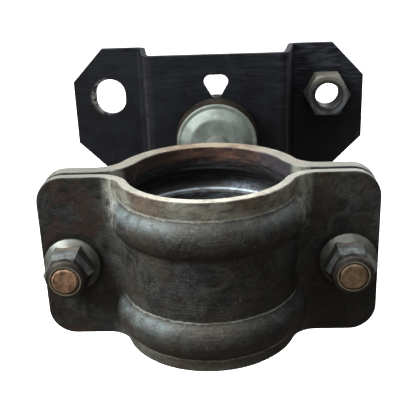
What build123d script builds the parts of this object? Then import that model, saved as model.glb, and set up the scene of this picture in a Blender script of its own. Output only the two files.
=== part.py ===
from build123d import *
import os
from math import cos, radians, sin, sqrt

# Split two-bolt pipe clamp, carried by a stem in a rubber mount on a hat-section bracket.
#
# The pipe axis is +Z and passes through the origin at mid height of the clamp. The clamp parts
# on the XZ plane: its front half and nuts lie on the -Y side, and its rear half, the stem, the
# rubber mount and the bracket on the +Y side. All dimensions are in millimetres.

# ---- clamp halves -------------------------------------------------------
PIPE_D = 60.3                     # two-inch steel pipe
BORE_R = PIPE_D / 2 + 0.15        # saddle radius with the halves closed
CLAMP_W = 129.0                   # over the ears, along X
CLAMP_H = 66.0                    # along the pipe
EAR_GAP = 2.4                     # between the ears when tightened on the pipe
EAR_CORNER_R = 10.5
BEND_R = 10.0                     # outside radius between saddle and ear
FRONT_SHEET = 3.5
REAR_SHEET = 6.0
EDGE_R = 0.6                      # sheared edges, worn round

BEAD_HEIGHTS = (-20.6, 18.4)      # middle of each ring bead
BEAD_HALF_W = 7.1
BEAD_RISE = 3.8
BEAD_FOOT_R = 1.2
BEAD_END_IN = 0.7                 # how far a bead's end is sunk below the ear's face
BEAD_END_R = 2.0                  # blend between that end and the bend
BEAD_ROOT = 0.5                   # how deep a bead reaches into the wall
GROOVE_HALF_W = 5.0
GROOVE_DEPTH = 2.8
GROOVE_LIP_R = 2.0
GROOVE_ROOT = 3.0                 # how far the groove's cutter reaches into the bore
GROOVE_END = 1.0                  # past the ear's inner face

# ---- bolts and nuts -----------------------------------------------------
BOLT_X = 53.0                     # half the bolt spacing
BOLT_Z = -2.4
BOLT_D = 10.0                     # M10
BOLT_PITCH = 1.5
BOLT_HOLE_D = 11.0
BOLT_HEAD_AF = 16.0
BOLT_HEAD_H = 6.4
BOLT_STICKOUT = 0.6               # bolt end beyond the nut
BOLT_NECK = 1.0                   # plain length under the head
THREAD_R = BOLT_D / 2 - 0.06      # crest radius
THREAD_DEPTH = 0.62
THREAD_RISE = 0.55                # flank, as a share of the pitch
THREAD_CREST = 0.15
TIP_CHAMFER = 0.3
HEX_SLOPE = 0.6                   # rise of the turned corners of nuts and bolt heads

NUT_AF = 17.0
NUT_FLANGE_R = 10.9
NUT_RIM_BREAK = 0.4
NUT_RIM_H = 1.3
NUT_FLANGE_TOP = 3.4              # where the sloping flange meets the hexagon
NUT_HEX_TOP = 8.5                 # top of the straight flats
NUT_TAPER = 20.0                  # degrees, of the six facets above them
NUT_TAPER_H = 5.2
NUT_COLLAR_R = 7.6
NUT_H = 15.0
NUT_BORE_R = BOLT_D / 2
BORE_CHAMFER = 0.5
LOCK_RING_R = 6.4
LOCK_RING_T = 2.2
CRIMP_T = 0.8                     # collar edge rolled over the locking ring
CRIMP_SLOPE = (0.5, 0.9)
CRIMP_EDGE = 0.9
LEFT_NUT_TURN = 4.0               # how each hexagon happens to stand, degrees
RIGHT_NUT_TURN = 2.0
HEAD_TURN = 17.0                  # bolt head against its nut

WASHER_R = 10.0
WASHER_T = 2.0
WASHER_HOLE_R = 5.3

# ---- stem ---------------------------------------------------------------
STEM_R = 6.5
STEM_BOSS_R = 10.0
STEM_BOSS_L = 14.0
STEM_WELD = 1.2                   # weld chamfer on the boss
STEM_SHOULDER_Y = 140.5           # the front cup washer rests here
STEM_TAPER = 0.5
STEM_RELIEF = 2.0                 # thread relief behind the shoulder

# ---- rubber mount -------------------------------------------------------
CUP_LIP_R = 22.8
CUP_FLAT_R = 15.6                 # flat face, before its edge is rounded
CUP_DEPTH = 4.5                   # from the flat face to the brim
CUP_BRIM_W = 2.4
CUP_SHEET = 2.5
CUP_WALL_SHIFT = 1.1              # inner wall line against the outer one
CUP_HOLE_R = 5.2

BUSH_SWELL = 0.23                 # how far the rubber bulges, as a share of its free height
BUSH_SWELL_AT = 0.55
BUSH_FOOT_R = 20.5                # rubber where it meets the web
BUSH_BRIM_R = 18.6                # rubber where it leaves the cup
BUSH_TIP_R = 13.2
BUSH_NECK_R = 14.6
BUSH_BRIM_GAP = 0.1               # between rubber and brim
FRONT_RUBBER = 19.0               # along the stem
REAR_RUBBER = 10.0
SLEEVE_R = 8.0
SLEEVE_BORE_R = 5.2

STEM_NUT_AF = 17.0
STEM_NUT_HEX = 7.0
STEM_NUT_H = 10.0
STEM_NUT_COLLAR_R = 7.6
STEM_NUT_STICKOUT = 1.5

# ---- bracket ------------------------------------------------------------
WEB_Y = STEM_SHOULDER_Y + CUP_SHEET + FRONT_RUBBER
BRACKET_SHEET = 3.0
HAT_DEPTH = 31.5
BRACKET_W = 179.0
BRACKET_TOP = 47.8
BRACKET_BOTTOM = -CLAMP_H / 2     # clamp rim and bracket edge rest on one plane
WEB_W = 83.5
FLANGE_INNER_W = 93.4
BRACKET_BEND_R = 3.0
TOP_CHAMFER = (19.0, 20.0)        # along X and Z
LOW_CHAMFER = (22.0, 22.0)
MOUNT_HOLE_X = 66.8
MOUNT_HOLE_Z = 18.0
SLOT_W = 18.5
SLOT_H = 22.0
NUT_HOLE_R = 8.75
WEB_HOLE_R = 15.0
WINDOW_Z = 30.5                   # rounded triangular window above the mount
WINDOW_R = 11.5
WINDOW_CORNER_R = 4.0

MOUNT_NUT_AF = 24.0               # M16
MOUNT_NUT_H = 13.0
MOUNT_NUT_BORE_R = 7.4
MOUNT_NUT_CHAMFER = 0.9

# ---- shared small sizes -------------------------------------------------
FIT = 0.1                         # radial play of plain sliding fits
EDGE_BREAK = 0.3                  # chamfer on turned edges
OVERCUT = 0.1                     # how far a cut runs past the face it opens
TOLERANCE = 0.01

half_w = CLAMP_W / 2
half_h = CLAMP_H / 2
front_face_y = -(EAR_GAP / 2 + FRONT_SHEET)
rear_face_y = EAR_GAP / 2 + REAR_SHEET
saddle_back_r = BORE_R + REAR_SHEET
stem_start_y = saddle_back_r - 2 * EDGE_BREAK
web_back_y = WEB_Y + BRACKET_SHEET
rear_cup_y = web_back_y + REAR_RUBBER + CUP_SHEET
stem_nut_y = rear_cup_y + WASHER_T
flange_y = WEB_Y + HAT_DEPTH      # front face of the flanges

os.makedirs("parts", exist_ok=True)


def finish(part, name):
    """Label a finished sub-part and write it as its own STEP file."""
    part.part.label = name
    export_step(part.part, f"parts/{name}.step")


# ---- pressed clamp half -------------------------------------------------
def half_shell(sheet):
    """Clamp half on the -Y side: ears, bends, saddle, two ring beads and their grooves."""
    ear_in = -EAR_GAP / 2
    ear_out = ear_in - sheet
    saddle_r = BORE_R + sheet
    bend_y = ear_out - BEND_R
    bend_x = sqrt((saddle_r + BEND_R) ** 2 - bend_y ** 2)
    outer_share = saddle_r / (saddle_r + BEND_R)
    inner_share = BORE_R / (saddle_r + BEND_R)
    with BuildPart() as shell:
        # sheet in plan, with concentric bends where the saddle meets the ears
        with BuildSketch(Plane.XY):
            with BuildLine():
                ear_a = Line((-half_w, ear_out), (-bend_x, ear_out))
                bend_a = TangentArc(ear_a @ 1, (-outer_share * bend_x, outer_share * bend_y),
                                    tangent=ear_a % 1)
                saddle = TangentArc(bend_a @ 1, (outer_share * bend_x, outer_share * bend_y),
                                    tangent=bend_a % 1)
                bend_b = TangentArc(saddle @ 1, (bend_x, ear_out), tangent=saddle % 1)
                Polyline(bend_b @ 1, (half_w, ear_out), (half_w, ear_in))
                ear_b = Line((half_w, ear_in), (bend_x, ear_in))
                lip_b = TangentArc(ear_b @ 1, (inner_share * bend_x, inner_share * bend_y),
                                   tangent=ear_b % 1)
                bore = TangentArc(lip_b @ 1, (-inner_share * bend_x, inner_share * bend_y),
                                  tangent=lip_b % 1)
                lip_a = TangentArc(bore @ 1, (-bend_x, ear_in), tangent=bore % 1)
                Polyline(lip_a @ 1, (-half_w, ear_in), (-half_w, ear_out))
            make_face()
        extrude(amount=half_h, both=True)
        # outward beads, stopped inside the thickness of the ears
        bead = ring_section(saddle_r - BEAD_ROOT, saddle_r, BEAD_HALF_W, BEAD_RISE, BEAD_FOOT_R)
        add(ring_half(bead, ear_out + BEAD_END_IN))
        fillet([edge for edge in shell.edges() if on_crest(edge, saddle_r + BEAD_RISE)], radius=BEAD_END_R)
        groove = ring_section(BORE_R - GROOVE_ROOT, BORE_R, GROOVE_HALF_W, GROOVE_DEPTH, GROOVE_LIP_R)
        add(ring_half(groove, ear_in + GROOVE_END), mode=Mode.SUBTRACT)
        with BuildSketch(Plane.XZ):
            RectangleRounded(CLAMP_W, CLAMP_H, EAR_CORNER_R)
        extrude(amount=CLAMP_W, both=True, mode=Mode.INTERSECT)
        with BuildSketch(Plane.XZ):
            with Locations((-BOLT_X, BOLT_Z), (BOLT_X, BOLT_Z)):
                Circle(BOLT_HOLE_D / 2)
        extrude(amount=half_w, both=True, mode=Mode.SUBTRACT)
        # round the rims, but not the short edges across the sheet
        rims = shell.edges().group_by(Axis.Z)
        outline = [edge for edge in rims[0] + rims[-1] if abs((edge % 0.5).Y) < 1 - TOLERANCE]
        fillet(outline, radius=EDGE_R)
    return shell.part


def on_crest(edge, crest_r):
    """True for the edge round a bead's end, whose middle is where the crest meets the bend."""
    middle = edge @ 0.5
    return abs(sqrt(middle.X ** 2 + middle.Y ** 2) - crest_r) < TOLERANCE


def ring_section(inner_r, base_r, half_width, rise, foot_r):
    """Radial section of the two rings, each blended into the wall by a foot radius."""
    base = base_r - TOLERANCE
    margin = half_width + foot_r
    with BuildSketch(Plane.XZ) as section:
        for height in BEAD_HEIGHTS:
            with BuildSketch(Plane.XZ, mode=Mode.PRIVATE) as ring:
                with BuildLine():
                    low = (base, height - half_width)
                    high = (base, height + half_width)
                    Polyline(low, (base, height - margin), (inner_r, height - margin),
                             (inner_r, height + margin), (base, height + margin), high)
                    ThreePointArc(high, (base_r + rise, height), low)
                make_face()
                feet = [v for v in ring.vertices() if abs(abs(v.Z - height) - half_width) < TOLERANCE]
                fillet(feet, radius=foot_r)
            add(ring.sketch)
    return section.sketch


def ring_half(section, limit_y):
    """Revolve a radial section about the pipe axis and keep it below Y = limit_y."""
    with BuildPart() as ring:
        add(section)
        revolve(axis=Axis.Z, revolution_arc=360)
        split(bisect_by=Plane.XZ.offset(-limit_y), keep=Keep.TOP)
    return ring.part


# ---- turned shapes and threads ------------------------------------------
def side_plane(x, z):
    """Plane holding an axis parallel to Y: local X is the radius, local Y runs along +Y."""
    return Plane(origin=(x, 0, z), x_dir=(1, 0, 0), z_dir=(0, 0, 1))


def turned(x, z, start_y, direction, points):
    """Solid turned about an axis parallel to Y from (radius, distance) points.

    Distances run from start_y, towards +Y if direction is 1 and -Y if it is -1.
    """
    outline = [(radius, start_y + direction * distance) for radius, distance in points]
    with BuildPart() as body:
        with BuildSketch(side_plane(x, z)):
            with BuildLine():
                Polyline(*outline, close=True)
            make_face()
        revolve(axis=Axis((x, 0, z), (0, 1, 0)), revolution_arc=360)
    return body.part


def tube(x, z, start_y, direction, inner_r, outer_r, length):
    """Plain turned ring with square edges."""
    return turned(x, z, start_y, direction,
                  [(inner_r, 0), (outer_r, 0), (outer_r, length), (inner_r, length)])


def hexagon_plane(x, y, z, direction, turn):
    """Plane across Y, turned about it, for a hexagon that stands towards +Y or -Y."""
    return Plane(origin=(x, y, z), x_dir=(cos(radians(turn)), 0, sin(radians(turn))),
                 z_dir=(0, direction, 0))


def hexagon(x, z, start_y, direction, across_flats, height, turn):
    """Hexagonal prism along Y with the corners of its far end turned off."""
    corner_r = across_flats / sqrt(3)
    blank_r = corner_r + OVERCUT
    top_r = across_flats / 2 - EDGE_BREAK
    chamfer_h = (blank_r - top_r) * HEX_SLOPE
    with BuildPart() as prism:
        with BuildSketch(hexagon_plane(x, start_y, z, direction, turn)):
            RegularPolygon(radius=corner_r, side_count=6)
        extrude(amount=height)
        blank = turned(x, z, start_y, direction,
                       [(0, 0), (blank_r, 0), (blank_r, height - chamfer_h), (top_r, height), (0, height)])
        add(blank, mode=Mode.INTERSECT)
    return prism.part


def thread_points(start, end):
    """(radius, distance) points of an M10 thread with a chamfered end, down to the axis."""
    root_r = THREAD_R - THREAD_DEPTH
    turns = int((end - start) / BOLT_PITCH)
    points = []
    for turn in range(turns):
        base = start + turn * BOLT_PITCH
        crest = base + THREAD_RISE * BOLT_PITCH
        points += [(root_r, base), (THREAD_R, crest), (THREAD_R, crest + THREAD_CREST * BOLT_PITCH)]
    points += [(root_r, start + turns * BOLT_PITCH), (root_r - TIP_CHAMFER, end), (0, end)]
    return points


# ---- nuts, washers and bolts --------------------------------------------
def lock_collar(x, z, seat_y, direction, radius, foot, top):
    """Collar above a nut's hexagon, its edge rolled inwards over the locking ring."""
    slope_r, slope_h = CRIMP_SLOPE
    return turned(x, z, seat_y, direction,
                  [(0, foot), (radius, foot), (radius, top - slope_h - BORE_CHAMFER),
                   (radius - slope_r, top - BORE_CHAMFER), (radius - slope_r - CRIMP_EDGE, top), (0, top)])


def lock_nut_bore(x, z, seat_y, direction, top):
    """Cutter for a lock nut's bore and the seat of its ring."""
    seat = top - CRIMP_T - LOCK_RING_T
    entry_r = NUT_BORE_R + BORE_CHAMFER
    return turned(x, z, seat_y, direction,
                  [(0, -OVERCUT), (entry_r, -OVERCUT), (NUT_BORE_R, BORE_CHAMFER), (NUT_BORE_R, seat),
                   (LOCK_RING_R, seat), (LOCK_RING_R, top - CRIMP_T), (entry_r, top - CRIMP_T),
                   (entry_r, top + OVERCUT), (0, top + OVERCUT)])


def lock_ring(x, z, seat_y, direction, top):
    """Locking ring that fills the seat in the collar."""
    start = seat_y + direction * (top - CRIMP_T - LOCK_RING_T)
    return tube(x, z, start, direction, NUT_BORE_R, LOCK_RING_R, LOCK_RING_T)


def flange_nut(x, z, seat_y, turn):
    """Hexagon flange nut with a crimped collar, seated at seat_y and pointing to -Y."""
    skirt = [(0, 0), (NUT_FLANGE_R - NUT_RIM_BREAK, 0), (NUT_FLANGE_R, NUT_RIM_BREAK),
             (NUT_FLANGE_R, NUT_RIM_H), (NUT_FLANGE_R - NUT_RIM_BREAK, NUT_RIM_H + NUT_RIM_BREAK),
             (NUT_AF / 2, NUT_FLANGE_TOP), (0, NUT_FLANGE_TOP)]
    with BuildPart() as nut:
        add(turned(x, z, seat_y, -1, skirt))
        # straight flats, then six facets that lean in to the round collar
        for start, height, taper in ((0, NUT_HEX_TOP, 0), (NUT_HEX_TOP, NUT_TAPER_H, NUT_TAPER)):
            with BuildSketch(hexagon_plane(x, seat_y - start, z, -1, turn)):
                RegularPolygon(radius=NUT_AF / sqrt(3), side_count=6)
            extrude(amount=height, taper=taper)
        add(lock_collar(x, z, seat_y, -1, NUT_COLLAR_R, NUT_HEX_TOP - BORE_CHAMFER, NUT_H))
        add(lock_nut_bore(x, z, seat_y, -1, NUT_H), mode=Mode.SUBTRACT)
    return nut.part


def plain_washer(x, z, seat_y, hole_r):
    """Flat washer on the rear side of seat_y, with broken outer edges."""
    return turned(x, z, seat_y, 1,
                  [(hole_r, 0), (WASHER_R - EDGE_BREAK, 0), (WASHER_R, EDGE_BREAK),
                   (WASHER_R, WASHER_T - EDGE_BREAK), (WASHER_R - EDGE_BREAK, WASHER_T),
                   (hole_r, WASHER_T)])


def clamp_bolt(x, z, turn):
    """Hexagon bolt: head behind the rear ear, threaded shank pointing to -Y."""
    head_y = rear_face_y + WASHER_T
    length = head_y - front_face_y + NUT_H + BOLT_STICKOUT
    shank = [(0, 0), (THREAD_R - THREAD_DEPTH, 0)] + thread_points(BOLT_NECK, length)
    with BuildPart() as bolt:
        add(hexagon(x, z, head_y, 1, BOLT_HEAD_AF, BOLT_HEAD_H, turn))
        add(turned(x, z, head_y, -1, shank))
    return bolt.part


# ---- rubber mount parts -------------------------------------------------
def cup_washer(face_y, direction):
    """Dished washer with a flat seat, a rounded shoulder and a narrow brim."""
    shoulder_r = CUP_LIP_R - CUP_BRIM_W
    corner_radii = ((CUP_FLAT_R, 3.2), (CUP_FLAT_R - CUP_WALL_SHIFT, 1.2), (shoulder_r, 0.8),
                    (shoulder_r - CUP_WALL_SHIFT, 1.6), (CUP_LIP_R, 0.9))
    outline = [(CUP_HOLE_R, 0), (CUP_FLAT_R, 0), (shoulder_r, CUP_DEPTH), (CUP_LIP_R, CUP_DEPTH),
               (CUP_LIP_R, CUP_DEPTH + CUP_SHEET), (shoulder_r - CUP_WALL_SHIFT, CUP_DEPTH + CUP_SHEET),
               (CUP_FLAT_R - CUP_WALL_SHIFT, CUP_SHEET), (CUP_HOLE_R, CUP_SHEET)]
    with BuildPart() as cup:
        with BuildSketch(side_plane(0, 0)) as section:
            with BuildLine():
                Polyline(*[(radius, face_y + direction * depth) for radius, depth in outline], close=True)
            make_face()
            for corner_r, radius in corner_radii:
                fillet([v for v in section.vertices() if abs(v.X - corner_r) < TOLERANCE], radius=radius)
        revolve(axis=Axis.Y, revolution_arc=360)
    return cup.part


def rubber_bush(web_face_y, direction, thickness):
    """Barrel-shaped rubber ring between the web and a cup washer, with a neck in the web hole."""
    free_h = thickness - CUP_DEPTH - BUSH_BRIM_GAP
    bore_r = SLEEVE_R + FIT
    swell_r = BUSH_FOOT_R + BUSH_SWELL * free_h
    outline = [(BUSH_BRIM_R, free_h), (BUSH_TIP_R, thickness), (bore_r, thickness),
               (bore_r, -BRACKET_SHEET / 2), (BUSH_NECK_R, -BRACKET_SHEET / 2), (BUSH_NECK_R, 0),
               (BUSH_FOOT_R, 0)]
    points = [(radius, web_face_y + direction * distance) for radius, distance in outline]
    swell = (swell_r, web_face_y + direction * BUSH_SWELL_AT * free_h)
    with BuildPart() as bush:
        with BuildSketch(side_plane(0, 0)):
            with BuildLine():
                Polyline(*points)
                ThreePointArc(points[-1], swell, points[0])
            make_face()
        revolve(axis=Axis.Y, revolution_arc=360)
    return bush.part


# ---- clamp --------------------------------------------------------------
with BuildPart() as front_shell:
    add(half_shell(FRONT_SHEET))
finish(front_shell, "front_shell")

with BuildPart() as rear_shell:
    add(mirror(half_shell(REAR_SHEET), about=Plane.XZ, mode=Mode.PRIVATE))
finish(rear_shell, "rear_shell")

for side, x, turn in (("left", -BOLT_X, LEFT_NUT_TURN), ("right", BOLT_X, RIGHT_NUT_TURN)):
    with BuildPart() as bolt:
        add(clamp_bolt(x, BOLT_Z, turn + HEAD_TURN))
    finish(bolt, f"{side}_clamp_bolt")
    with BuildPart() as washer:
        add(plain_washer(x, BOLT_Z, rear_face_y, WASHER_HOLE_R))
    finish(washer, f"{side}_bolt_washer")
    with BuildPart() as nut:
        add(flange_nut(x, BOLT_Z, front_face_y, turn))
    finish(nut, f"{side}_flange_nut")
    with BuildPart() as ring:
        add(lock_ring(x, BOLT_Z, front_face_y, -1, NUT_H))
    finish(ring, f"{side}_nut_lock_ring")

# ---- stem ---------------------------------------------------------------
# weld-on boss saddled on the rear shell between its two beads
boss_end = saddle_back_r - stem_start_y + STEM_BOSS_L
with BuildPart() as stem_boss:
    add(turned(0, 0, stem_start_y - STEM_RELIEF, 1,
               [(STEM_R + FIT, 0), (STEM_BOSS_R, 0), (STEM_BOSS_R, boss_end),
                (STEM_BOSS_R - STEM_WELD, boss_end + STEM_WELD), (STEM_R + FIT, boss_end + STEM_WELD)]))
    with BuildSketch(Plane.XY):
        Circle(saddle_back_r + TOLERANCE)
    extrude(amount=half_h, both=True, mode=Mode.SUBTRACT)
finish(stem_boss, "stem_boss")

# plain rod to the shoulder, then an M10 thread through the rubber mount
shoulder = STEM_SHOULDER_Y - stem_start_y
stem_length = stem_nut_y + STEM_NUT_H + STEM_NUT_STICKOUT - stem_start_y
with BuildPart() as stem:
    add(turned(0, 0, stem_start_y, 1,
               [(0, 0), (STEM_R, 0), (STEM_R, shoulder - STEM_TAPER), (STEM_R - STEM_TAPER, shoulder),
                (THREAD_R - THREAD_DEPTH, shoulder)] + thread_points(shoulder + STEM_RELIEF, stem_length)))
    with BuildSketch(Plane.XY):
        Circle(saddle_back_r + TOLERANCE)
    extrude(amount=half_h, both=True, mode=Mode.SUBTRACT)
finish(stem, "stem")

# ---- rubber mount -------------------------------------------------------
with BuildPart() as front_cup_washer:
    add(cup_washer(STEM_SHOULDER_Y, 1))
finish(front_cup_washer, "front_cup_washer")

with BuildPart() as rear_cup_washer:
    add(cup_washer(rear_cup_y, -1))
finish(rear_cup_washer, "rear_cup_washer")

with BuildPart() as front_bush:
    add(rubber_bush(WEB_Y, -1, FRONT_RUBBER))
finish(front_bush, "front_bush")

with BuildPart() as rear_bush:
    add(rubber_bush(web_back_y, 1, REAR_RUBBER))
finish(rear_bush, "rear_bush")

# spacer tube that stops the nut from crushing the rubber
sleeve_length = FRONT_RUBBER + BRACKET_SHEET + REAR_RUBBER
with BuildPart() as bush_sleeve:
    add(tube(0, 0, STEM_SHOULDER_Y + CUP_SHEET, 1, SLEEVE_BORE_R, SLEEVE_R, sleeve_length))
finish(bush_sleeve, "bush_sleeve")

with BuildPart() as stem_washer:
    add(plain_washer(0, 0, rear_cup_y, CUP_HOLE_R))
finish(stem_washer, "stem_washer")

with BuildPart() as stem_nut:
    add(hexagon(0, 0, stem_nut_y, 1, STEM_NUT_AF, STEM_NUT_HEX, 0))
    add(lock_collar(0, 0, stem_nut_y, 1, STEM_NUT_COLLAR_R, STEM_NUT_HEX - BORE_CHAMFER, STEM_NUT_H))
    add(lock_nut_bore(0, 0, stem_nut_y, 1, STEM_NUT_H), mode=Mode.SUBTRACT)
finish(stem_nut, "stem_nut")

with BuildPart() as stem_nut_lock_ring:
    add(lock_ring(0, 0, stem_nut_y, 1, STEM_NUT_H))
finish(stem_nut_lock_ring, "stem_nut_lock_ring")

# ---- bracket ------------------------------------------------------------
# hat section bent from one sheet; every bend has the same inside radius
outer_bend_r = BRACKET_BEND_R + BRACKET_SHEET
bend_radii = (BRACKET_BEND_R, outer_bend_r, outer_bend_r, BRACKET_BEND_R)
bracket_h = BRACKET_TOP - BRACKET_BOTTOM
bracket_mid_z = (BRACKET_TOP + BRACKET_BOTTOM) / 2
with BuildPart() as bracket:
    with BuildSketch(Plane.XY.offset(BRACKET_BOTTOM)):
        with BuildLine():
            FilletPolyline((-BRACKET_W / 2, flange_y), (-FLANGE_INNER_W / 2, flange_y), (-WEB_W / 2, WEB_Y),
                           (WEB_W / 2, WEB_Y), (FLANGE_INNER_W / 2, flange_y), (BRACKET_W / 2, flange_y),
                           radius=bend_radii)
            offset(amount=BRACKET_SHEET, side=Side.LEFT)
        make_face()
    extrude(amount=bracket_h)
    # corners of the flanges cut off
    with BuildSketch(Plane.XZ):
        with Locations((0, bracket_mid_z)):
            Rectangle(BRACKET_W, bracket_h)
        for side in (-1, 1):
            corner_x = side * BRACKET_W / 2
            for edge_z, inward, (along_x, along_z) in ((BRACKET_TOP, -1, TOP_CHAMFER),
                                                       (BRACKET_BOTTOM, 1, LOW_CHAMFER)):
                with BuildLine():
                    Polyline((corner_x, edge_z), (corner_x - side * along_x, edge_z),
                             (corner_x, edge_z + inward * along_z), close=True)
                make_face(mode=Mode.SUBTRACT)
    extrude(amount=-2 * flange_y, mode=Mode.INTERSECT)
    # slot, nut hole, mount hole and window
    with BuildSketch(Plane.XZ):
        with Locations((-MOUNT_HOLE_X, MOUNT_HOLE_Z)):
            SlotOverall(SLOT_H, SLOT_W, rotation=90)
        with Locations((MOUNT_HOLE_X, MOUNT_HOLE_Z)):
            Circle(NUT_HOLE_R)
        Circle(WEB_HOLE_R)
        with Locations((0, WINDOW_Z)):
            with BuildSketch(mode=Mode.PRIVATE) as window:
                RegularPolygon(radius=WINDOW_R, side_count=3, rotation=-90)
                fillet(window.vertices(), radius=WINDOW_CORNER_R)
            add(window.sketch)
    extrude(amount=-2 * flange_y, mode=Mode.SUBTRACT)
finish(bracket, "bracket")

with BuildPart() as mounting_nut:
    add(hexagon(MOUNT_HOLE_X, MOUNT_HOLE_Z, flange_y, -1, MOUNT_NUT_AF, MOUNT_NUT_H, 0))
    entry_r = MOUNT_NUT_BORE_R + MOUNT_NUT_CHAMFER + OVERCUT
    add(turned(MOUNT_HOLE_X, MOUNT_HOLE_Z, flange_y, -1,
               [(0, -OVERCUT), (entry_r, -OVERCUT), (MOUNT_NUT_BORE_R, MOUNT_NUT_CHAMFER),
                (MOUNT_NUT_BORE_R, MOUNT_NUT_H - MOUNT_NUT_CHAMFER), (entry_r, MOUNT_NUT_H + OVERCUT),
                (0, MOUNT_NUT_H + OVERCUT)]), mode=Mode.SUBTRACT)
finish(mounting_nut, "mounting_nut")
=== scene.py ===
from math import cos, hypot, pi, radians, sin, sqrt

import bmesh
import bpy
from mathutils import Matrix, Vector, noise


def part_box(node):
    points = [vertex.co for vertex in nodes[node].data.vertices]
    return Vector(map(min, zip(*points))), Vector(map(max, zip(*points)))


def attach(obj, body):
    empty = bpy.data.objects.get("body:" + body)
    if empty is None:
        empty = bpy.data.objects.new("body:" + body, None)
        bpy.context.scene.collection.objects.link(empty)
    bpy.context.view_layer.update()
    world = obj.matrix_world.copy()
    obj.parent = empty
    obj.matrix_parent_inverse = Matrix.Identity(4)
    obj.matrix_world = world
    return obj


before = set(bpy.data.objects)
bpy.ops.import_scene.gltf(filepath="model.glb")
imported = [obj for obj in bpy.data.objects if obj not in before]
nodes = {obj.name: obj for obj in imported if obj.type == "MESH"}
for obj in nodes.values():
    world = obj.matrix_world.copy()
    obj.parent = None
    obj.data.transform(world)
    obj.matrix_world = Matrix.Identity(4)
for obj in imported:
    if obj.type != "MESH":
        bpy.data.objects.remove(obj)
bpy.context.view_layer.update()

# Looks for a split pipe clamp on a rubber-mounted hat bracket. Lengths are in metres.
# +Z is the pipe axis, -Y is towards the nuts and the camera, +Y runs along the stem.

MM = 0.001


# ---- places and sizes taken from the CAD boxes --------------------------
def centre(name):
    low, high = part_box(name)
    return (low + high) / 2


def size(name):
    low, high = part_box(name)
    return high - low


shell_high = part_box("front_shell")[1]
clamp_top = shell_high.z
ear_half_w = shell_high.x
stem_r = size("stem").x / 2
boss_low, boss_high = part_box("stem_boss")
boss_r = (boss_high.x - boss_low.x) / 2
saddle_back_r = hypot(boss_low.y, boss_r)    # of the rear shell's round back, under the boss
bolt = centre("right_flange_nut")
nut_seat_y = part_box("right_flange_nut")[1].y
nut_r = size("right_flange_nut").x / 2
mount_nut = centre("mounting_nut")

# ---- features of the shells, the nuts and the bracket, as the CAD has them ----
BEAD_HEIGHTS = (-20.6 * MM, 18.4 * MM)
BEAD_HALF_W = 7.1 * MM
BEAD_FOOT = 0.6 * MM                         # from a bead's edge to the middle of its foot radius
BEAD_FLANK_R = (33.9 * MM, 35.4 * MM)        # a bead rises out of the saddle between these radii
GROOVE_HALF_W = 5.0 * MM
BORE_MOUTH_X = (30.5 * MM, 33 * MM)          # the bore runs into the gap between the ears
BEND_X = (31.8 * MM, 41.3 * MM)              # bend between saddle and ear
SADDLE_END_X = (36 * MM, 40 * MM)            # the saddle's finish gives way to the ear's
EAR_END_R = (48 * MM, 50 * MM)               # a sheared edge further out is an ear's outline
NUT_FLANGE_H = 3.4 * MM
NUT_HEX_H = 8.5 * MM
COLLAR_H = 13.2 * MM                         # where the collar starts to roll inwards
COLLAR_LIP_R = (5.35 * MM, 6.0 * MM)
SLOT_R = 9.25 * MM
BRACKET_BEND_X = 41.4 * MM                   # front corner between web and side
MOUNT_DARK_R = (8.6 * MM, 10.4 * MM)        # the darkening round the mounting nut's bore fades out between these radii


# ---- node helpers -------------------------------------------------------
MIX_A, MIX_B, MIX_RESULT = 6, 7, 2           # colour sockets of a Mix node
BEVEL_SAMPLES = 4
EDGE_COSINE = (0.97, 0.80)                   # between true and rounded normals: plain, worn


def rgb(red, green, blue):
    return (red, green, blue, 1.0)


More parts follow.
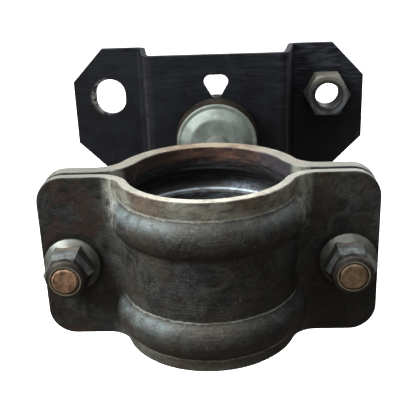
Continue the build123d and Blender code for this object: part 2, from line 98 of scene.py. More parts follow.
class NodeSet:
    """A material and short calls to build its nodes. Positions are object coordinates in metres."""

    def __init__(self, name):
        self.material = bpy.data.materials.new(name)
        self.material.use_nodes = True
        self.tree = self.material.node_tree
        self.shader = self.tree.nodes["Principled BSDF"]
        self.coords = self.tree.nodes.new("ShaderNodeTexCoord").outputs["Object"]
        # the name decides where in the noise a material lies
        self.seed = Vector((sum(ord(letter) for letter in name) % 97, len(name), 0)) * 0.1

    def put(self, socket, value):
        if isinstance(value, bpy.types.NodeSocket):
            self.tree.links.new(value, socket)
        else:
            socket.default_value = value

    def math(self, operation, a, b=0.0, clamp=False):
        node = self.tree.nodes.new("ShaderNodeMath")
        node.operation = operation
        node.use_clamp = clamp
        self.put(node.inputs[0], a)
        self.put(node.inputs[1], b)
        return node.outputs[0]

    def times(self, *factors):
        product = factors[0]
        for factor in factors[1:]:
            product = self.math("MULTIPLY", product, factor)
        return product

    def invert(self, value):
        return self.math("SUBTRACT", 1.0, value)

    def lift(self, value, gain, bias):
        return self.math("ADD", self.math("MULTIPLY", value, gain), bias)

    def distance(self, a, b):
        squares = self.math("ADD", self.math("MULTIPLY", a, a), self.math("MULTIPLY", b, b))
        return self.math("SQRT", squares)

    def separate(self, vector):
        node = self.tree.nodes.new("ShaderNodeSeparateXYZ")
        self.put(node.inputs[0], vector)
        return node.outputs

    def normal(self):
        """Surface normal in the object's own axes."""
        geometry = self.tree.nodes.new("ShaderNodeNewGeometry")
        turn = self.tree.nodes.new("ShaderNodeVectorTransform")
        turn.vector_type = "NORMAL"
        turn.convert_from = "WORLD"
        turn.convert_to = "OBJECT"
        self.put(turn.inputs[0], geometry.outputs["Normal"])
        return self.separate(turn.outputs[0])

    def scaled(self, stretch):
        node = self.tree.nodes.new("ShaderNodeVectorMath")
        node.operation = "MULTIPLY_ADD"
        self.put(node.inputs[0], self.coords)
        node.inputs[1].default_value = stretch
        node.inputs[2].default_value = self.seed
        return node.outputs[0]

    def noise(self, grain, detail=4.0, roughness=0.55, stretch=(1, 1, 1), distortion=0.0):
        """Noise from 0 to 1 with features about grain metres wide, less along a stretch over 1."""
        node = self.tree.nodes.new("ShaderNodeTexNoise")
        node.inputs["Scale"].default_value = 1.0
        node.inputs["Detail"].default_value = detail
        node.inputs["Roughness"].default_value = roughness
        node.inputs["Distortion"].default_value = distortion
        self.put(node.inputs["Vector"], self.scaled(tuple(s / grain for s in stretch)))
        return node.outputs["Fac"]

    def between(self, value, start, end):
        """0 before start, 1 after end, smooth between; start may be above end."""
        node = self.tree.nodes.new("ShaderNodeMapRange")
        node.interpolation_type = "SMOOTHSTEP"
        self.put(node.inputs["Value"], value)
        node.inputs["From Min"].default_value = start
        node.inputs["From Max"].default_value = end
        return node.outputs["Result"]

    def band(self, value, low, high, soft):
        """1 between low and high and 0 outside, changing within soft of each."""
        return self.times(self.between(value, low - soft, low + soft),
                          self.invert(self.between(value, high - soft, high + soft)))

    def mix(self, factor, a, b):
        node = self.tree.nodes.new("ShaderNodeMix")
        node.data_type = "RGBA"
        self.put(node.inputs["Factor"], factor)
        self.put(node.inputs[MIX_A], a)
        self.put(node.inputs[MIX_B], b)
        return node.outputs[MIX_RESULT]

    def bump(self, height, distance, strength=1.0, onto=None):
        node = self.tree.nodes.new("ShaderNodeBump")
        node.inputs["Strength"].default_value = strength
        node.inputs["Distance"].default_value = distance
        self.put(node.inputs["Height"], height)
        if onto is not None:
            self.put(node.inputs["Normal"], onto)
        return node.outputs[0]

    def edge(self, width):
        """About 1 within width of a sharp corner of the shape, 0 away from it."""
        rounded = self.tree.nodes.new("ShaderNodeBevel")
        rounded.samples = BEVEL_SAMPLES
        rounded.inputs["Radius"].default_value = width
        flat = self.tree.nodes.new("ShaderNodeNewGeometry")
        dot = self.tree.nodes.new("ShaderNodeVectorMath")
        dot.operation = "DOT_PRODUCT"
        self.put(dot.inputs[0], rounded.outputs[0])
        self.put(dot.inputs[1], flat.outputs["Normal"])
        return self.between(dot.outputs["Value"], *EDGE_COSINE)

    def surface(self, color, roughness=0.5, metallic=0.0, specular=0.5, normal=None):
        self.put(self.shader.inputs["Base Color"], color)
        self.put(self.shader.inputs["Roughness"], roughness)
        self.put(self.shader.inputs["Metallic"], metallic)
        self.put(self.shader.inputs["Specular IOR Level"], specular)
        if normal is not None:
            self.put(self.shader.inputs["Normal"], normal)


# ---- steel of the clamp -------------------------------------------------
class ClampNodes(NodeSet):
    """The clamp's node set, with the places (0 to 1) and the noises that its layers share."""

    def __init__(self):
        super().__init__("clamp_steel")
        self.x, self.y, self.z = self.separate(self.coords)
        nx, self.ny, self.nz = self.normal()
        self.radius = self.distance(self.x, self.y)
        self.side = self.math("ABSOLUTE", self.x)

        self.cloud = self.noise(7 * MM, 7, 0.7, distortion=0.9)
        self.broad = self.noise(20 * MM, 4, 0.55)
        self.fine = self.noise(0.8 * MM, 4, 0.7)
        self.grit = self.between(self.noise(1.3 * MM, 5, 0.75), 0.36, 0.66)
        self.drawn = self.noise(4 * MM, 5, 0.7, stretch=(0.3, 0.3, 8))
        self.scratched = self.noise(2.2 * MM, 5, 0.75, stretch=(0.25, 0.25, 6), distortion=0.3)
        self.run = self.noise(4 * MM, 6, 0.7, stretch=(1.4, 1.4, 0.6), distortion=0.8)
        self.smear = self.noise(5 * MM, 6, 0.7, stretch=(0.7, 0.7, 1.5), distortion=0.9)

        # outward is minus the radius on a face that looks at the pipe axis
        outward = self.math("ADD", self.times(nx, self.x), self.times(self.ny, self.y))
        self.inside = self.times(self.between(outward, -8 * MM, -14 * MM),
                                 self.invert(self.between(self.side, *BORE_MOUTH_X)))
        self.outside = self.invert(self.inside)
        self.saddle = self.invert(self.between(self.side, *SADDLE_END_X))
        self.up = self.between(self.nz, 0.1, 0.75)
        self.proud = self.between(self.radius, *BEAD_FLANK_R)
        # painted shade over the lower right of the front; it darkens the coat and holds back the
        # beads' blue-grey there
        self.lower_right_shade = self.times(self.between(self.x, 4 * MM, 26 * MM),
                               self.between(self.z, 8 * MM, -6 * MM))
        # rubbed wear and painted highlight: the tops of the beads, most towards -X, some towards
        # +X, least in the painted shade at the lower right
        patches = self.between(self.noise(15 * MM, 6, 0.7, distortion=0.8), 0.34, 0.60)
        toward_ends = self.math("ADD", self.between(self.x, -4 * MM, -22 * MM),
                                self.times(self.between(self.x, 12 * MM, 26 * MM), 0.35))
        self.rubbed_and_highlight = self.times(self.proud, self.up, self.saddle, patches,
                                 self.lift(self.grit, 0.55, 0.45), toward_ends,
                                 self.lift(self.lower_right_shade, -0.7, 1.0))


def clamp_coating(m):
    """Black scale with olive, brown, blue-black and rusty clouds, and drawing marks."""
    black, olive = rgb(0.006, 0.006, 0.006), rgb(0.040, 0.041, 0.035)
    color = m.mix(m.between(m.cloud, 0.40, 0.64), black, olive)
    color = m.mix(m.times(m.between(m.broad, 0.48, 0.64), 0.6), color, rgb(0.034, 0.029, 0.020))
    cold = m.between(m.noise(13 * MM, 5, 0.6), 0.52, 0.66)
    color = m.mix(m.times(cold, 0.5), color, rgb(0.016, 0.022, 0.030))
    marks = m.times(m.between(m.drawn, 0.48, 0.70), m.lift(m.saddle, 0.3, 0.15))
    color = m.mix(marks, color, rgb(0.080, 0.080, 0.072))
    rusty = m.between(m.noise(10 * MM, 6, 0.65, distortion=0.6), 0.50, 0.62)
    color = m.mix(m.times(rusty, m.lift(m.saddle, -0.45, 0.75)), color, rgb(0.034, 0.017, 0.013))
    scratches = m.times(m.between(m.scratched, 0.56, 0.68), m.lift(m.grit, 0.5, 0.2),
                        m.lift(m.saddle, 0.75, 0.25))
    color = m.mix(scratches, color, rgb(0.105, 0.108, 0.098))
    furrows = m.times(m.between(m.scratched, 0.44, 0.34), m.lift(m.saddle, 0.4, 0.15))
    return m.mix(furrows, color, rgb(0.004, 0.004, 0.005))


def clamp_dust(m, color):
    """Dust on upward faces and on the walls beside the beads, and painted shade over the lower
    right.
    """
    low_wall_z = BEAD_HEIGHTS[0] - BEAD_HALF_W
    high_wall_z = BEAD_HEIGHTS[1] + BEAD_HALF_W
    low_wall = m.between(m.z, low_wall_z, low_wall_z - 1 * MM)
    high_wall = m.between(m.z, high_wall_z, high_wall_z + 1 * MM)
    walls = m.math("ADD", high_wall, m.times(low_wall, 0.4))
    dust = m.math("ADD", m.times(m.up, 0.12), m.times(walls, m.outside), clamp=True)
    dust = m.times(dust, m.lift(m.fine, 0.5, 0.6), m.saddle,
                   m.lift(m.between(m.smear, 0.36, 0.60), 0.7, 0.35))
    olive, brown = rgb(0.235, 0.230, 0.185), rgb(0.140, 0.100, 0.072)
    color = m.mix(dust, color, m.mix(m.between(m.broad, 0.46, 0.66), olive, brown))
    # painted shade over the lower right
    return m.mix(m.times(m.lower_right_shade, m.outside, 0.65), color, rgb(0.005, 0.005, 0.005))


def clamp_beads(m, color):
    """Beads rubbed blue-grey on top with a painted highlight, brown-red underneath, with teal and
    brown mottle.
    """
    # blue-grey on the bead tops: rubbed wear and painted highlight
    color = m.mix(m.times(m.rubbed_and_highlight, 0.8), color, rgb(0.155, 0.200, 0.208))
    under = m.times(m.proud, m.saddle, m.between(m.nz, -0.1, -0.6))
    color = m.mix(m.times(under, 0.6), color, rgb(0.026, 0.013, 0.010))
    teal = m.between(m.noise(8 * MM, 6, 0.7, distortion=0.8), 0.50, 0.62)
    teal = m.times(m.proud, m.up, teal, m.lift(m.grit, 0.5, 0.3))
    color = m.mix(m.times(teal, 0.5), color, rgb(0.085, 0.115, 0.110))
    mottle = m.between(m.noise(6 * MM, 6, 0.7, distortion=1.0), 0.50, 0.60)
    mottle = m.times(mottle, m.lift(m.proud, 0.45, 0.2), m.outside)
    return m.mix(mottle, color, rgb(0.020, 0.016, 0.012))


def clamp_wear(m, color):
    """Grime and painted contact shadow round the nuts and bolt washers, pale bends of wear and
    painted highlight, pale lines and specks of bare steel.
    """
    # grime and painted contact shadow round the nuts
    away = m.distance(m.math("SUBTRACT", m.side, bolt.x), m.math("SUBTRACT", m.z, bolt.z))
    grime_and_painted_shade = m.times(m.invert(m.between(away, nut_r + 0.5 * MM, nut_r + 3 * MM)),
                    m.lift(m.smear, 0.8, 0.4))
    color = m.mix(grime_and_painted_shade, color, rgb(0.004, 0.0035, 0.003))
    # pale strip of wear and painted bend highlight where the sheet bends from ear to saddle,
    # strongest near the top
    strip_wear_and_highlight = m.times(m.band(m.side, BEND_X[0] + 1.5 * MM, BEND_X[1] - 3.5 * MM, 2.5 * MM),
                    m.outside, m.between(m.run, 0.36, 0.58),
                    m.lift(m.between(m.z, 8 * MM, 28 * MM), 0.95, 0.05))
    color = m.mix(m.times(strip_wear_and_highlight, m.lift(m.grit, 0.4, 0.6)), color, rgb(0.34, 0.345, 0.30))
    # fine pale lines along the feet of the beads
    wander = m.math("ADD", m.z, m.times(m.lift(m.run, 1, -0.5), 1.6 * MM))
    on_saddle = m.invert(m.between(m.side, 31 * MM, 34 * MM))
    patchy = m.lift(m.between(m.cloud, 0.35, 0.6), 0.6, 0.35)
    for foot_z in (BEAD_HEIGHTS[1] + BEAD_HALF_W + BEAD_FOOT,
                   BEAD_HEIGHTS[0] + BEAD_HALF_W + BEAD_FOOT,
                   BEAD_HEIGHTS[0] - BEAD_HALF_W - BEAD_FOOT):
        line = m.band(wander, foot_z - 0.2 * MM, foot_z + 0.25 * MM, 0.3 * MM)
        line = m.times(line, m.outside, on_saddle, patchy)
        color = m.mix(line, color, rgb(0.28, 0.29, 0.25))
    speck = m.times(m.between(m.noise(0.45 * MM, 2, 0.5), 0.60, 0.72),
                    m.between(m.run, 0.40, 0.62), m.lift(m.saddle, 0.65, 0.35))
    return m.mix(m.times(speck, 0.45), color, rgb(0.32, 0.32, 0.29))


def clamp_bore(m):
    """Rust below the rim, bare dark steel deeper, a painted highlight on the lip of the upper
    bead's groove, and painted light and painted blue-grey reflection on the bore wall below it.
    """
    rusty = m.noise(4 * MM, 6, 0.65, stretch=(0.6, 0.6, 1.6), distortion=0.5)
    rust = m.mix(m.between(rusty, 0.36, 0.64), rgb(0.034, 0.020, 0.016), rgb(0.130, 0.062, 0.042))
    rust = m.mix(m.times(m.between(m.drawn, 0.42, 0.66), 0.65), rust, rgb(0.045, 0.038, 0.036))
    rust = m.mix(m.times(m.between(m.x, -8 * MM, -22 * MM), 0.6), rust, rgb(0.022, 0.016, 0.013))
    rust = m.mix(m.times(m.between(m.x, 16 * MM, 24 * MM), 0.7), rust, rgb(0.030, 0.038, 0.050))
    steel = m.mix(m.between(m.drawn, 0.46, 0.70), rgb(0.007, 0.005, 0.004),
                  rgb(0.045, 0.050, 0.058))
    ragged_z = m.math("ADD", m.z, m.times(rusty, 8 * MM))
    bore = m.mix(m.between(ragged_z, 30 * MM, 33.5 * MM), steel, rust)
    # painted blue-grey reflection on the bore wall towards +X
    painted_sheen = m.times(m.band(m.x, 8 * MM, 20 * MM, 5 * MM), m.between(m.smear, 0.42, 0.56),
                    m.between(m.z, 20 * MM, 15 * MM))
    bore = m.mix(m.times(painted_sheen, 0.6), bore, rgb(0.105, 0.140, 0.185))
    lip_z = BEAD_HEIGHTS[1] - GROOVE_HALF_W + 1.2 * MM
    # painted light on the bore wall below the groove
    painted_light_below = m.mix(m.between(m.smear, 0.40, 0.60), rgb(0.030, 0.028, 0.025),
                  rgb(0.080, 0.096, 0.112))
    bore = m.mix(m.invert(m.between(m.z, lip_z - 0.6 * MM, lip_z)), bore, painted_light_below)
    # painted highlight along the lower lip of the groove
    lip_highlight = m.times(m.band(m.z, lip_z - 0.4 * MM, lip_z + 0.2 * MM, 0.2 * MM),
                  m.between(m.smear, 0.30, 0.50))
    return m.mix(m.times(lip_highlight, 0.95), bore, rgb(0.36, 0.42, 0.46))


def clamp_edges(m, color):
    """Sheared edges: pale on top, browner on the rear half and greyer on the ears."""
    beige = m.mix(m.between(m.noise(8 * MM, 5, 0.6), 0.35, 0.65), rgb(0.36, 0.325, 0.26),
                  rgb(0.58, 0.54, 0.455))
    brown = m.mix(m.between(m.noise(9 * MM, 5, 0.6), 0.35, 0.65), rgb(0.17, 0.115, 0.078),
                  rgb(0.30, 0.245, 0.172))
    edge = m.mix(m.between(m.y, -2 * MM, 2 * MM), beige, brown)
    edge = m.mix(m.times(m.between(m.side, 12 * MM, 28 * MM), 0.7), edge, rgb(0.24, 0.24, 0.21))
    edge = m.mix(m.times(m.between(m.side, 34 * MM, 44 * MM), 0.6), edge, rgb(0.15, 0.15, 0.13))
    edge = m.mix(m.times(m.between(m.fine, 0.52, 0.66), 0.5), edge, rgb(0.08, 0.065, 0.05))
    rim = m.times(m.between(m.math("ABSOLUTE", m.nz), 0.55, 0.95),
                  m.between(m.math("ABSOLUTE", m.z), clamp_top - 1.3 * MM, clamp_top - 0.5 * MM))
    outline = m.times(m.invert(m.between(m.math("ABSOLUTE", m.ny), 0.3, 0.8)),
                      m.between(m.radius, *EAR_END_R))
    return m.mix(m.math("MAXIMUM", rim, m.times(outline, 0.7)), color, edge)


def clamp_steel():
    """Blackened pressed steel: olive dust, beads rubbed blue-grey with painted highlights, painted
    shade at the lower right, rusty bore with painted highlights and reflections, pale rims.
    """
    m = ClampNodes()
    color = clamp_coating(m)
    color = clamp_dust(m, color)
    color = clamp_beads(m, color)
    color = clamp_wear(m, color)
    color = m.mix(m.inside, color, clamp_bore(m))
    color = clamp_edges(m, color)

    gloss = m.math("MAXIMUM", m.inside, m.times(m.rubbed_and_highlight, 0.6))
    rough = m.math("SUBTRACT", m.lift(m.cloud, 0.35, 0.32), m.times(gloss, 0.16))
    rough = m.math("ADD", rough, m.times(m.grit, 0.14))
    bump = m.bump(m.fine, 0.12 * MM, 0.6)
    bump = m.bump(m.grit, 0.08 * MM, 0.7, onto=bump)
    bump = m.bump(m.noise(3.0 * MM, 4, 0.6), 0.35 * MM, 0.6, onto=bump)
    bump = m.bump(m.scratched, 0.12 * MM, 0.6, onto=bump)
    m.surface(color, rough, metallic=0.2, specular=0.4, normal=bump)
    return m.material


# ---- other materials ----------------------------------------------------
def bracket_paint():
    """Satin blue-black paint, dusty towards the top, scuffed, with a painted highlight along the
    bends, and chipped round the slot.
    """
    m = NodeSet("bracket_paint")
    x, _, z = m.separate(m.coords)
    cloud = m.noise(12 * MM, 5, 0.6)
    streak = m.noise(5 * MM, 4, 0.6, stretch=(0.5, 0.5, 5))
    color = m.mix(m.between(cloud, 0.35, 0.7), rgb(0.0024, 0.0026, 0.004),
                  rgb(0.005, 0.006, 0.009))
    dust = m.times(m.between(z, -10 * MM, 45 * MM), m.between(streak, 0.4, 0.7))
    right_flange = m.between(x, 30 * MM, 45 * MM)
    color = m.mix(m.times(dust, m.lift(right_flange, 0.9, 0.25)), color, rgb(0.030, 0.033, 0.042))
    scuff = m.between(m.noise(4 * MM, 7, 0.75, stretch=(1, 1, 0.4), distortion=0.6), 0.60, 0.70)
    color = m.mix(m.times(scuff, 0.5), color, rgb(0.045, 0.046, 0.050))
    # painted highlight along the bends at the front corners
    bend_highlight = m.band(m.math("ABSOLUTE", x), BRACKET_BEND_X - 0.7 * MM, BRACKET_BEND_X + 0.3 * MM,
                  0.5 * MM)
    color = m.mix(m.times(bend_highlight, m.between(streak, 0.3, 0.6), 0.6), color, rgb(0.050, 0.046, 0.042))
    wear = m.times(m.edge(0.7 * MM), m.between(cloud, 0.36, 0.56))
    color = m.mix(m.times(wear, 0.7), color, rgb(0.16, 0.155, 0.145))
    # the slot lies as far to the left as the mounting nut lies to the right
    slot_x = -mount_nut.x
    away = m.distance(m.math("SUBTRACT", x, slot_x), m.math("SUBTRACT", z, mount_nut.z))
    chip = m.times(m.invert(m.between(away, SLOT_R + 1.2 * MM, SLOT_R + 4 * MM)),
                   m.between(m.noise(3 * MM, 5, 0.65), 0.42, 0.58),
                   m.between(x, slot_x, slot_x - 5 * MM))
    color = m.mix(m.times(chip, 0.8), color, rgb(0.22, 0.21, 0.20))
    rough = m.lift(cloud, 0.2, 0.42)
    bump = m.bump(m.noise(0.9 * MM, 2, 0.5), 0.05 * MM, 0.5)
    bump = m.bump(chip, 0.1 * MM, 0.6, onto=bump)
    m.surface(color, rough, specular=0.28, normal=bump)
    return m.material


def zinc():
    """Dull greenish zinc plating with chalky patches and brown stains."""
    m = NodeSet("zinc")
    cloud = m.noise(6 * MM, 5, 0.6)
    color = m.mix(m.between(cloud, 0.3, 0.75), rgb(0.145, 0.160, 0.142), rgb(0.225, 0.258, 0.240))
    stain = m.between(m.noise(4 * MM, 5, 0.65, distortion=0.4), 0.52, 0.7)
    color = m.mix(m.times(stain, 0.5), color, rgb(0.13, 0.12, 0.09))
    rough = m.lift(cloud, 0.2, 0.46)
    bump = m.bump(m.noise(1.2 * MM), 0.06 * MM, 0.4)
    m.surface(color, rough, metallic=0.4, specular=0.35, normal=bump)
    return m.material


def mounting_nut_steel():
    """Plated nut gone dull: dark round the thread, with a painted highlight on top, bluish at the
    lower right.
    """
    m = NodeSet("mounting_nut_steel")
    x, _, z = m.separate(m.coords)
    across = m.math("SUBTRACT", x, mount_nut.x)
    above = m.math("SUBTRACT", z, mount_nut.z)
    cloud = m.noise(4 * MM, 5, 0.6, distortion=0.4)
    color = m.mix(m.between(cloud, 0.35, 0.65), rgb(0.055, 0.056, 0.053), rgb(0.125, 0.128, 0.122))
    # painted highlight on the upper part of the nut
    top_highlight = m.between(above, 3 * MM, 9 * MM)
    color = m.mix(m.times(top_highlight, 0.8), color, rgb(0.210, 0.198, 0.165))
    cold = m.times(m.between(across, 0, 8 * MM), m.between(above, 1 * MM, -6 * MM))
    color = m.mix(m.times(cold, 0.6), color, rgb(0.150, 0.170, 0.190))
    dark = m.invert(m.between(m.distance(across, above), *MOUNT_DARK_R))
    color = m.mix(m.times(dark, 0.85), color, rgb(0.014, 0.013, 0.012))
    rough = m.lift(cloud, 0.2, 0.45)
    bump = m.bump(m.noise(1.2 * MM), 0.06 * MM, 0.4)
    m.surface(color, rough, metallic=0.4, specular=0.35, normal=bump)
    return m.material


def nut_plating():
    """Flange nut: blue-grey plating, brown stains at the foot of the hexagon, grime and painted
    shade on the hexagon's sides, dark rusty collar with painted shade and a painted highlight on
    its lip.
    """
    m = NodeSet("nut_plating")
    x, y, z = m.separate(m.coords)
    nz = m.normal()[2]
    height = m.math("SUBTRACT", nut_seat_y, y)
    away = m.distance(m.math("SUBTRACT", m.math("ABSOLUTE", x), bolt.x),
                      m.math("SUBTRACT", z, bolt.z))
    cloud = m.noise(3 * MM, 5, 0.65, distortion=0.5)
    color = m.mix(m.between(cloud, 0.32, 0.68), rgb(0.080, 0.088, 0.088), rgb(0.175, 0.185, 0.178))
    flange = m.invert(m.between(height, NUT_FLANGE_H - 0.5 * MM, NUT_FLANGE_H + 0.5 * MM))
    color = m.mix(m.times(flange, m.lift(cloud, 0.6, 0.2)), color, rgb(0.105, 0.104, 0.078))
    # brown and orange stains where the hexagon meets the flange
    corner = m.times(m.band(height, NUT_FLANGE_H, NUT_FLANGE_H + 2.8 * MM, 0.6 * MM),
                     m.between(m.noise(2.2 * MM, 5, 0.7, distortion=0.6), 0.44, 0.58))
    color = m.mix(m.times(corner, 0.75), color, rgb(0.27, 0.185, 0.098))
    # sides and underside of the hexagon: dark brown grime and painted shade, upward faces left out
    flats = m.band(height, NUT_FLANGE_H + 0.3 * MM, NUT_HEX_H, 0.3 * MM)
    flats = m.times(flats, m.invert(m.between(nz, 0.55, 0.85)))
    low = m.times(m.between(height, NUT_FLANGE_H, NUT_FLANGE_H + 0.6 * MM),
                  m.invert(m.between(nz, 0.1, 0.5)))
    grime_and_painted_shade = m.times(m.math("MAXIMUM", flats, low), m.lift(cloud, 0.5, 0.55))
    color = m.mix(grime_and_painted_shade, color, rgb(0.020, 0.014, 0.010))
    worn = m.times(m.edge(0.5 * MM), m.between(cloud, 0.42, 0.60))
    color = m.mix(m.times(worn, 0.6), color, rgb(0.30, 0.28, 0.22))
    # dark rust on the collar, darkened further as painted shade
    collar = m.between(height, COLLAR_H - 2.4 * MM, COLLAR_H - 1.0 * MM)
    rust = m.mix(m.between(m.noise(1.8 * MM, 5, 0.65), 0.35, 0.65), rgb(0.004, 0.003, 0.002),
                 rgb(0.020, 0.014, 0.009))
    color = m.mix(collar, color, rust)
    stain = m.between(m.noise(2.4 * MM, 4, 0.6), 0.52, 0.68)
    color = m.mix(m.times(stain, 0.5), color, rgb(0.040, 0.026, 0.016))
    # painted highlight on the lip of the collar where it rolls in
    lip_highlight = m.times(m.between(height, COLLAR_H + 1.2 * MM, COLLAR_H + 1.5 * MM),
                  m.band(away, *COLLAR_LIP_R, 0.12 * MM))
    color = m.mix(m.times(lip_highlight, m.lift(cloud, 0.9, 0.2)), color, rgb(0.26, 0.22, 0.16))
    rough = m.math("ADD", m.lift(cloud, 0.3, 0.28), m.times(collar, 0.1))
    metallic = m.lift(collar, -0.35, 0.55)
    m.surface(color, rough, metallic, normal=m.bump(m.noise(0.8 * MM), 0.08 * MM, 0.55))
    return m.material


def worn_zinc():
    """Zinc plating worn and stained brown."""
    m = NodeSet("worn_zinc")
    cloud = m.noise(3.5 * MM, 5, 0.65, distortion=0.5)
    color = m.mix(m.between(cloud, 0.3, 0.65), rgb(0.10, 0.10, 0.09), rgb(0.22, 0.21, 0.16))
    stain = m.between(m.noise(2.2 * MM, 4, 0.6), 0.5, 0.7)
    color = m.mix(m.times(stain, 0.6), color, rgb(0.06, 0.04, 0.022))
    rough = m.lift(cloud, 0.35, 0.28)
    m.surface(color, rough, metallic=0.6, normal=m.bump(m.noise(0.8 * MM), 0.06 * MM, 0.5))
    return m.material


def rusty_steel():
    """Plain steel with a brown rust film, pitted, darker on the right bolt, bare on the edges."""
    m = NodeSet("rusty_steel")
    x = m.separate(m.coords)[0]
    cloud = m.noise(2.6 * MM, 6, 0.65, distortion=0.5)
    color = m.mix(m.between(cloud, 0.36, 0.64), rgb(0.085, 0.045, 0.024), rgb(0.300, 0.170, 0.098))
    rosy = m.between(m.noise(1.5 * MM, 4, 0.6), 0.52, 0.64)
    color = m.mix(m.times(rosy, 0.5), color, rgb(0.150, 0.065, 0.045))
    pit = m.between(m.noise(0.5 * MM, 3, 0.6), 0.55, 0.7)
    color = m.mix(m.times(pit, 0.6), color, rgb(0.030, 0.018, 0.011))
    right = m.between(x, 0, bolt.x)
    color = m.mix(m.times(right, 0.5), color, rgb(0.085, 0.060, 0.030))
    bare = m.times(m.edge(0.5 * MM), m.between(cloud, 0.40, 0.55))
    color = m.mix(m.times(bare, 0.6), color, rgb(0.36, 0.31, 0.24))
    rough = m.lift(cloud, 0.3, 0.45)
    bump = m.bump(cloud, 0.45 * MM, 0.6)
    bump = m.bump(m.noise(0.5 * MM), 0.12 * MM, 0.6, onto=bump)
    m.surface(color, rough, metallic=0.25, specular=0.4, normal=bump)
    return m.material


def stem_steel():
    """Turned steel with dull plating and faint brown stains."""
    m = NodeSet("stem_steel")
    turning = m.noise(0.3 * MM, 2, 0.5, stretch=(0, 1, 0))
    cloud = m.noise(5 * MM, 5, 0.6)
    color = m.mix(m.between(cloud, 0.3, 0.7), rgb(0.18, 0.18, 0.165), rgb(0.25, 0.255, 0.235))
    stain = m.between(m.noise(7 * MM, 5, 0.65, distortion=0.4), 0.52, 0.7)
    color = m.mix(m.times(stain, 0.3), color, rgb(0.09, 0.065, 0.04))
    rough = m.lift(cloud, 0.25, 0.3)
    m.surface(color, rough, metallic=0.6, normal=m.bump(turning, 0.03 * MM, 0.4))
    return m.material


def weld_steel():
    """Weld metal: blue heat colours over brown-grey."""
    m = NodeSet("weld_steel")
    cloud = m.noise(2 * MM, 5, 0.6)
    color = m.mix(m.between(cloud, 0.35, 0.65), rgb(0.035, 0.030, 0.028), rgb(0.12, 0.10, 0.085))
    heat = m.between(m.noise(5 * MM, 3, 0.5), 0.5, 0.65)
    color = m.mix(m.times(heat, 0.5), color, rgb(0.045, 0.060, 0.085))
    rough = m.lift(cloud, 0.3, 0.3)
    m.surface(color, rough, metallic=0.6, normal=m.bump(m.noise(0.6 * MM), 0.1 * MM, 0.5))
    return m.material


def nylon():
    """Stained nylon locking ring."""
    m = NodeSet("lock_ring_nylon")
    cloud = m.noise(1.5 * MM, 4, 0.6)
    color = m.mix(m.between(cloud, 0.3, 0.7), rgb(0.035, 0.022, 0.014), rgb(0.10, 0.072, 0.048))
    m.surface(color, 0.6, normal=m.bump(cloud, 0.05 * MM, 0.5))
    return m.material


def aged_rubber():
    """Old rubber under olive-brown dust."""
    m = NodeSet("aged_rubber")
    cloud = m.noise(6 * MM, 5, 0.6)
    color = m.mix(m.between(cloud, 0.35, 0.65), rgb(0.008, 0.006, 0.004), rgb(0.024, 0.017, 0.011))
    m.surface(color, 0.8, specular=0.12, normal=m.bump(m.noise(1.5 * MM), 0.15 * MM, 0.5))
    return m.material


# ---- carried-over CAD nodes ---------------------------------------------
def dress(names, material):
    for name in names:
        mesh = nodes[name].data
        if not mesh.materials:
            mesh.materials.append(material)
        for index in range(len(mesh.materials)):
            mesh.materials[index] = material


# ---- weld beads ---------------------------------------------------------
STEPS_PER_RIPPLE = 8
WELD_SIDES = 12                              # corners of the bead's cross-section
RIPPLE_DEPTH = 0.10                          # as shares of the bead's thickness
RIPPLE_CHANCE = 0.22
STEM_WELD_GAP = 0.5 * MM                     # from the stem to the middle of its bead


def weld_bead(name, place, thickness, ripples, body, material):
    """Rippled ring of weld. place(angle) gives its middle and the axes of its cross-section."""
    steps = ripples * STEPS_PER_RIPPLE
    bm = bmesh.new()
    rows = []
    for step in range(steps):
        angle = 2 * pi * step / steps
        point, outward, across = place(angle)
        uneven = RIPPLE_CHANCE * noise.noise(point / thickness)
        ripple = 1 + RIPPLE_DEPTH * sin(ripples * angle) + uneven
        row = []
        for turn in range(WELD_SIDES):
            phi = 2 * pi * turn / WELD_SIDES
            offset = (cos(phi) * outward + sin(phi) * across) * thickness * ripple
            row.append(bm.verts.new(point + offset))
        rows.append(row)
    for step in range(steps):
        for turn in range(WELD_SIDES):
            a, b = rows[step], rows[(step + 1) % steps]
            after = (turn + 1) % WELD_SIDES
            face = bm.faces.new((a[turn], b[turn], b[after], a[after]))
            face.smooth = True
    bmesh.ops.recalc_face_normals(bm, faces=bm.faces)
    mesh = bpy.data.meshes.new(name)
    bm.to_mesh(mesh)
    bm.free()
    mesh.materials.append(material)
    piece = bpy.data.objects.new(name, mesh)
    bpy.context.scene.collection.objects.link(piece)
    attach(piece, body)


def round_boss(angle):
    """Foot of the boss, where it stands on the round back of the rear shell."""
    outward = Vector((cos(angle), 0, sin(angle)))
    x, z = boss_r * outward.x, boss_r * outward.z
    return Vector((x, sqrt(saddle_back_r ** 2 - x ** 2), z)), outward, Vector((0, 1, 0))


def round_stem(angle):
    """End of the boss, round the stem."""
    outward = Vector((cos(angle), 0, sin(angle)))
    point = (stem_r + STEM_WELD_GAP) * outward + Vector((0, boss_high.y, 0))
    return point, outward, Vector((0, 1, 0))


# ---- camera -------------------------------------------------------------
AIM = Vector((1.53, -33.8, 31.1)) * MM       # on the front upper rim
CAMERA_DISTANCE = 246.8 * MM
CAMERA_YAW = radians(-2.57)
CAMERA_DOWN = radians(21.41)
CAMERA_ROLL = radians(-2.16)
LENS = 64.37                                 # millimetres, like the sensor's width
SENSOR = 36.0
CLIP_START = 0.01


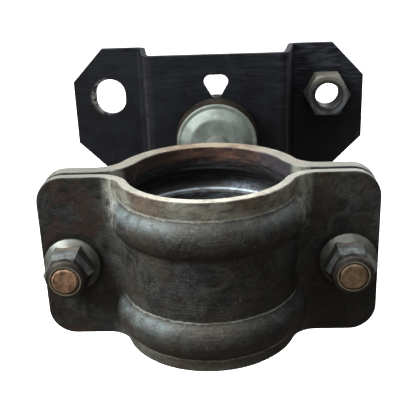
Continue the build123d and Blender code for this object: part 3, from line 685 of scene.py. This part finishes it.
def add_camera():
    forward = Vector((sin(CAMERA_YAW) * cos(CAMERA_DOWN), cos(CAMERA_YAW) * cos(CAMERA_DOWN),
                      -sin(CAMERA_DOWN)))
    right = Vector((cos(CAMERA_YAW), -sin(CAMERA_YAW), 0))
    up = right.cross(forward)
    camera_x = cos(CAMERA_ROLL) * right + sin(CAMERA_ROLL) * up
    camera_y = cos(CAMERA_ROLL) * up - sin(CAMERA_ROLL) * right
    data = bpy.data.cameras.new("camera")
    data.lens = LENS
    data.sensor_width = SENSOR
    data.clip_start = CLIP_START
    camera = bpy.data.objects.new("camera", data)
    bpy.context.scene.collection.objects.link(camera)
    axes = Matrix((camera_x, camera_y, -forward)).transposed()
    camera.matrix_world = Matrix.Translation(AIM - CAMERA_DISTANCE * forward) @ axes.to_4x4()
    bpy.context.scene.camera = camera


# ---- stage and light ----------------------------------------------------
WHITE = (1, 1, 1, 1)
HORIZON = (0.045, 0.047, 0.05, 1)
CEILING = (0.74, 0.79, 0.82, 1)
SKY_FADE = (-0.1, 0.9)                       # from horizon to ceiling, as the sine of the elevation
FLOOR_HALF = 3.0
FLOOR_SEEN = (0.96, 0.96, 0.96, 1)           # to the camera, with the glow
FLOOR_GLOW = 0.6
FLOOR_BOUNCE = (0.10, 0.08, 0.065, 1)        # to the light that reaches the object from below
NOD_ROOM = 12 * MM                           # the clamp dips as the rubber mount nods
# below the ears however the clamp is turned round the stem
floor_z = -hypot(ear_half_w, clamp_top) - NOD_ROOM

LIT_POINT = Vector((0, 20, 10)) * MM
# name, distance, azimuth, elevation, width, height, power, colour
LIGHTS = (
    ("key_left", 0.8, -68, 40, 0.5, 0.4, 13, (0.95, 0.99, 1.0)),
    ("overhead", 0.9, -20, 78, 0.7, 0.5, 4, (1.0, 0.98, 0.94)),
    ("back_fill", 1.0, 145, 25, 0.8, 0.5, 6, (0.97, 0.98, 1.0)),
)


def add_area(name, distance, azimuth, elevation, width, height, power, color):
    """Soft light; azimuth 0 is the camera's side and 90 is +X, as seen from LIT_POINT."""
    a, e = radians(azimuth), radians(elevation)
    offset = Vector((sin(a) * cos(e), -cos(a) * cos(e), sin(e))) * distance
    data = bpy.data.lights.new(name, "AREA")
    data.shape = "RECTANGLE"
    data.size = width
    data.size_y = height
    data.energy = power
    data.color = color
    light = bpy.data.objects.new(name, data)
    light.location = LIT_POINT + offset
    light.rotation_euler = (-offset).to_track_quat("-Z", "Y").to_euler()
    bpy.context.scene.collection.objects.link(light)


def add_world():
    """White to the camera; to the object a bright ceiling that falls off to a dim horizon."""
    world = bpy.data.worlds.new("studio")
    world.use_nodes = True
    tree = world.node_tree
    background = tree.nodes["Background"]
    coords = tree.nodes.new("ShaderNodeTexCoord")
    split = tree.nodes.new("ShaderNodeSeparateXYZ")
    height = tree.nodes.new("ShaderNodeMapRange")
    height.interpolation_type = "SMOOTHSTEP"
    height.inputs["From Min"].default_value, height.inputs["From Max"].default_value = SKY_FADE
    sky = tree.nodes.new("ShaderNodeMix")
    sky.data_type = "RGBA"
    sky.inputs[MIX_A].default_value = HORIZON
    sky.inputs[MIX_B].default_value = CEILING
    path = tree.nodes.new("ShaderNodeLightPath")
    seen = tree.nodes.new("ShaderNodeMix")
    seen.data_type = "RGBA"
    seen.inputs[MIX_B].default_value = WHITE
    tree.links.new(coords.outputs["Generated"], split.inputs[0])
    tree.links.new(split.outputs["Z"], height.inputs["Value"])
    tree.links.new(height.outputs["Result"], sky.inputs["Factor"])
    tree.links.new(path.outputs["Is Camera Ray"], seen.inputs["Factor"])
    tree.links.new(sky.outputs[MIX_RESULT], seen.inputs[MIX_A])
    tree.links.new(seen.outputs[MIX_RESULT], background.inputs["Color"])
    bpy.context.scene.world = world


def add_floor():
    """Pale to the camera, and a dim warm bounce to the object."""
    mesh = bpy.data.meshes.new("floor")
    corners = [(-FLOOR_HALF, -FLOOR_HALF, 0), (FLOOR_HALF, -FLOOR_HALF, 0),
               (FLOOR_HALF, FLOOR_HALF, 0), (-FLOOR_HALF, FLOOR_HALF, 0)]
    mesh.from_pydata(corners, [], [(0, 1, 2, 3)])
    floor = bpy.data.objects.new("floor", mesh)
    floor.location.z = floor_z
    bpy.context.scene.collection.objects.link(floor)
    m = NodeSet("floor_white")
    path = m.tree.nodes.new("ShaderNodeLightPath")
    seen = path.outputs["Is Camera Ray"]
    m.surface(m.mix(seen, FLOOR_BOUNCE, FLOOR_SEEN), 0.9, specular=0.1)
    m.shader.inputs["Emission Color"].default_value = FLOOR_SEEN
    m.put(m.shader.inputs["Emission Strength"], m.times(seen, FLOOR_GLOW))
    floor.data.materials.append(m.material)


def add_stage():
    bpy.context.scene.view_settings.view_transform = "Standard"
    add_world()
    add_floor()
    for light in LIGHTS:
        add_area(*light)


# ---- the whole scene ----------------------------------------------------
dress(["front_shell", "rear_shell", "stem_boss"], clamp_steel())
dress(["bracket"], bracket_paint())
dress(["front_cup_washer", "rear_cup_washer", "stem_nut", "bush_sleeve"], zinc())
dress(["mounting_nut"], mounting_nut_steel())
dress(["left_flange_nut", "right_flange_nut"], nut_plating())
dress(["left_bolt_washer", "right_bolt_washer", "stem_washer"], worn_zinc())
dress(["left_clamp_bolt", "right_clamp_bolt"], rusty_steel())
dress(["stem"], stem_steel())
dress(["left_nut_lock_ring", "right_nut_lock_ring", "stem_nut_lock_ring"], nylon())
dress(["front_bush", "rear_bush"], aged_rubber())

weld_metal = weld_steel()
weld_bead("boss_weld", round_boss, 1.6 * MM, 34, "clamp_body", weld_metal)
weld_bead("stem_weld", round_stem, 1.2 * MM, 22, "clamp_body", weld_metal)

add_camera()
add_stage()
